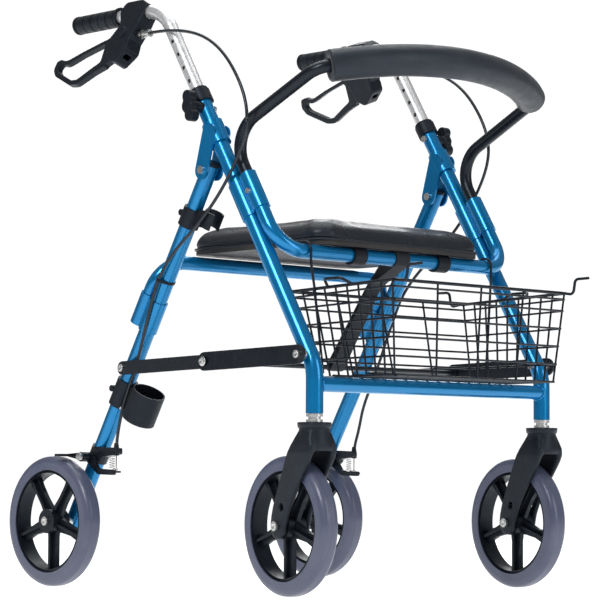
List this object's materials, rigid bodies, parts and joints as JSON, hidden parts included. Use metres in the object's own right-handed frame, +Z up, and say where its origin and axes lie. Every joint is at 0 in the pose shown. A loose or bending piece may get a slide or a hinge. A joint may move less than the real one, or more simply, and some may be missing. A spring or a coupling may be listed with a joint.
{
  "type": "rollator walker",
  "caption": "Four-wheeled folding walking frame with seat, curved backrest, loop hand brakes, wire basket and cane holder.",
  "frame": {"origin": "floor point below the centre of the whole bounding box", "axes": "+Z up, the walker rolls forward along -Y, its right side is -X"},
  "size_m": [0.626, 0.7935, 0.9138],
  "materials": {
    "blue_paint": "gloss metallic powder coat",
    "black_plastic": "fine moulded texture",
    "grey_tyre": "smooth, slightly glossy",
    "zinc": "zinc plated",
    "black_paint": "satin powder coat",
    "aluminium": "satin anodised",
    "black_rubber": "soft, matt",
    "seat_board": "plain",
    "seat_vinyl": "fine grained vinyl",
    "webbing": "woven"
  },
  "bodies": {
    "front_frame": {"front_legs": "blue_paint", "leg_fittings": "black_plastic", "front_sleeves": "blue_paint", "hinge_brackets": "blue_paint", "front_seat_bar": "blue_paint", "front_crossbar": "blue_paint", "front_frame_bolts": "zinc", "backrest_tube": "black_paint", "backrest_foam": "black_rubber"},
    "rear_frame": {"rear_legs": "blue_paint", "rear_leg_plugs": "black_plastic", "rear_sleeves": "blue_paint", "rear_seat_bar": "blue_paint", "rear_frame_bolts": "zinc", "brake_brackets": "black_paint", "brake_springs": "zinc", "cane_cup": "black_plastic", "cane_clip": "black_plastic"},
    "front_struts": {"front_strut_bars": "black_paint"},
    "rear_struts": {"rear_strut_bars": "black_paint", "strut_crossbar": "black_paint", "seat_strap": "webbing"},
    "seat": {"seat_board": "seat_board", "seat_cushion": "seat_vinyl", "seat_clips": "black_plastic"},
    "basket": {"basket_front": "black_paint", "basket_rear": "black_paint", "basket_right": "black_paint", "basket_left": "black_paint", "basket_floor": "black_paint"},
    "caster_right": {"caster_right_fork": "black_plastic", "caster_right_stem": "zinc"},
    "front_wheel_right": {"front_right_rim": "black_plastic", "front_right_tyre": "grey_tyre"},
    "rear_wheel_right": {"rear_right_rim": "black_plastic", "rear_right_tyre": "grey_tyre"},
    "handle_right": {"handle_tube_right": "aluminium", "grip_right": "black_rubber", "brake_housing_right": "black_plastic", "cable_adjuster_right": "zinc", "brake_cable_right": "black_rubber"},
    "lever_right": {"brake_lever_right": "black_plastic"},
    "knob_right": {"height_knob_right": "black_plastic"},
    "brake_arm_right": {"brake_arm_right": "black_paint"},
    "snap_right": {"snap_button_right": "zinc"},
    "caster_left": {"caster_left_fork": "black_plastic", "caster_left_stem": "zinc"},
    "front_wheel_left": {"front_left_rim": "black_plastic", "front_left_tyre": "grey_tyre"},
    "rear_wheel_left": {"rear_left_rim": "black_plastic", "rear_left_tyre": "grey_tyre"},
    "handle_left": {"handle_tube_left": "aluminium", "grip_left": "black_rubber", "brake_housing_left": "black_plastic", "cable_adjuster_left": "zinc", "brake_cable_left": "black_rubber"},
    "lever_left": {"brake_lever_left": "black_plastic"},
    "knob_left": {"height_knob_left": "black_plastic"},
    "brake_arm_left": {"brake_arm_left": "black_paint"},
    "snap_left": {"snap_button_left": "zinc"}
  },
  "joints": [
    {"name": "fold", "type": "hinge", "parent": "front_frame", "child": "rear_frame", "pos_m": [0, -0.018, 0.6325], "axis": [-1, 0, 0], "range_deg": [0, 28]},
    {"name": "front_strut_turn", "type": "hinge", "parent": "front_frame", "child": "front_struts", "pos_m": [0, -0.23775, 0.348], "axis": [1, 0, 0], "range_deg": [0, 38.9]},
    {"name": "rear_strut_turn", "type": "hinge", "parent": "rear_frame", "child": "rear_struts", "pos_m": [0, 0.15557, 0.33898], "axis": [-1, 0, 0], "range_deg": [0, 37.6], "deforming": ["seat_strap"]},
    {"name": "seat_tilt", "type": "hinge", "parent": "front_frame", "child": "seat", "pos_m": [0, -0.17258, 0.505], "axis": [1, 0, 0], "range_deg": [0, 75]},
    {"name": "basket_lift", "type": "slide", "parent": "front_frame", "child": "basket", "axis": [0, 0, 1], "range_m": [0, 0.018]},
    {"name": "caster_swivel_right", "type": "hinge", "parent": "front_frame", "child": "caster_right", "pos_m": [-0.25, -0.247, 0], "axis": [0, 0, 1], "continuous": true},
    {"name": "front_wheel_spin_right", "type": "hinge", "parent": "caster_right", "child": "front_wheel_right", "pos_m": [-0.24193, -0.18956, 0.1015], "axis": [0.9903, -0.1392, 0], "continuous": true},
    {"name": "rear_wheel_spin_right", "type": "hinge", "parent": "rear_frame", "child": "rear_wheel_right", "pos_m": [-0.29, 0.296, 0.1015], "axis": [1, 0, 0], "continuous": true},
    {"name": "handle_height_right", "type": "slide", "parent": "front_frame", "child": "handle_right", "axis": [0, 0.515, 0.8572], "range_m": [-0.1016, 0.0254], "deforming": ["brake_cable_right"]},
    {"name": "brake_squeeze_right", "type": "hinge", "parent": "handle_right", "child": "lever_right", "pos_m": [-0.26266, 0.151, 0.85823], "axis": [0.9397, 0, -0.342], "range_deg": [0, 14]},
    {"name": "knob_turn_right", "type": "hinge", "parent": "front_frame", "child": "knob_right", "pos_m": [-0.285, -0.00912, 0.7285], "axis": [1, 0, 0], "range_deg": [0, 360]},
    {"name": "rear_brake_right", "type": "hinge", "parent": "rear_frame", "child": "brake_arm_right", "pos_m": [-0.28, 0.23639, 0.2023], "axis": [-1, 0, 0], "range_deg": [0, 3.5], "deforming": ["brake_springs"]},
    {"name": "snap_release_right", "type": "slide", "parent": "front_frame", "child": "snap_right", "axis": [1, 0, 0], "range_m": [0, 0.007], "stiffness_N_per_m": 400},
    {"name": "caster_swivel_left", "type": "hinge", "parent": "front_frame", "child": "caster_left", "pos_m": [0.25, -0.247, 0], "axis": [0, 0, 1], "continuous": true},
    {"name": "front_wheel_spin_left", "type": "hinge", "parent": "caster_left", "child": "front_wheel_left", "pos_m": [0.25807, -0.18956, 0.1015], "axis": [0.9903, -0.1392, 0], "continuous": true},
    {"name": "rear_wheel_spin_left", "type": "hinge", "parent": "rear_frame", "child": "rear_wheel_left", "pos_m": [0.29, 0.296, 0.1015], "axis": [1, 0, 0], "continuous": true},
    {"name": "handle_height_left", "type": "slide", "parent": "front_frame", "child": "handle_left", "axis": [0, 0.515, 0.8572], "range_m": [-0.1016, 0.0254], "deforming": ["brake_cable_left"]},
    {"name": "brake_squeeze_left", "type": "hinge", "parent": "handle_left", "child": "lever_left", "pos_m": [0.26266, 0.151, 0.85823], "axis": [0.9397, 0, 0.342], "range_deg": [0, 14]},
    {"name": "knob_turn_left", "type": "hinge", "parent": "front_frame", "child": "knob_left", "pos_m": [0.285, -0.00912, 0.7285], "axis": [1, 0, 0], "range_deg": [0, 360]},
    {"name": "rear_brake_left", "type": "hinge", "parent": "rear_frame", "child": "brake_arm_left", "pos_m": [0.28, 0.23639, 0.2023], "axis": [-1, 0, 0], "range_deg": [0, 3.5], "deforming": ["brake_springs"]},
    {"name": "snap_release_left", "type": "slide", "parent": "front_frame", "child": "snap_left", "axis": [-1, 0, 0], "range_m": [0, 0.007], "stiffness_N_per_m": 400}
  ],
  "couplings": [
    {"joint": "front_strut_turn", "follows": "fold", "ratio": 1.3836},
    {"joint": "rear_strut_turn", "follows": "fold", "ratio": 1.3367},
    {"joint": "rear_brake_right", "follows": "brake_squeeze_right", "ratio": 0.25},
    {"joint": "rear_brake_left", "follows": "brake_squeeze_left", "ratio": 0.25}
  ]
}
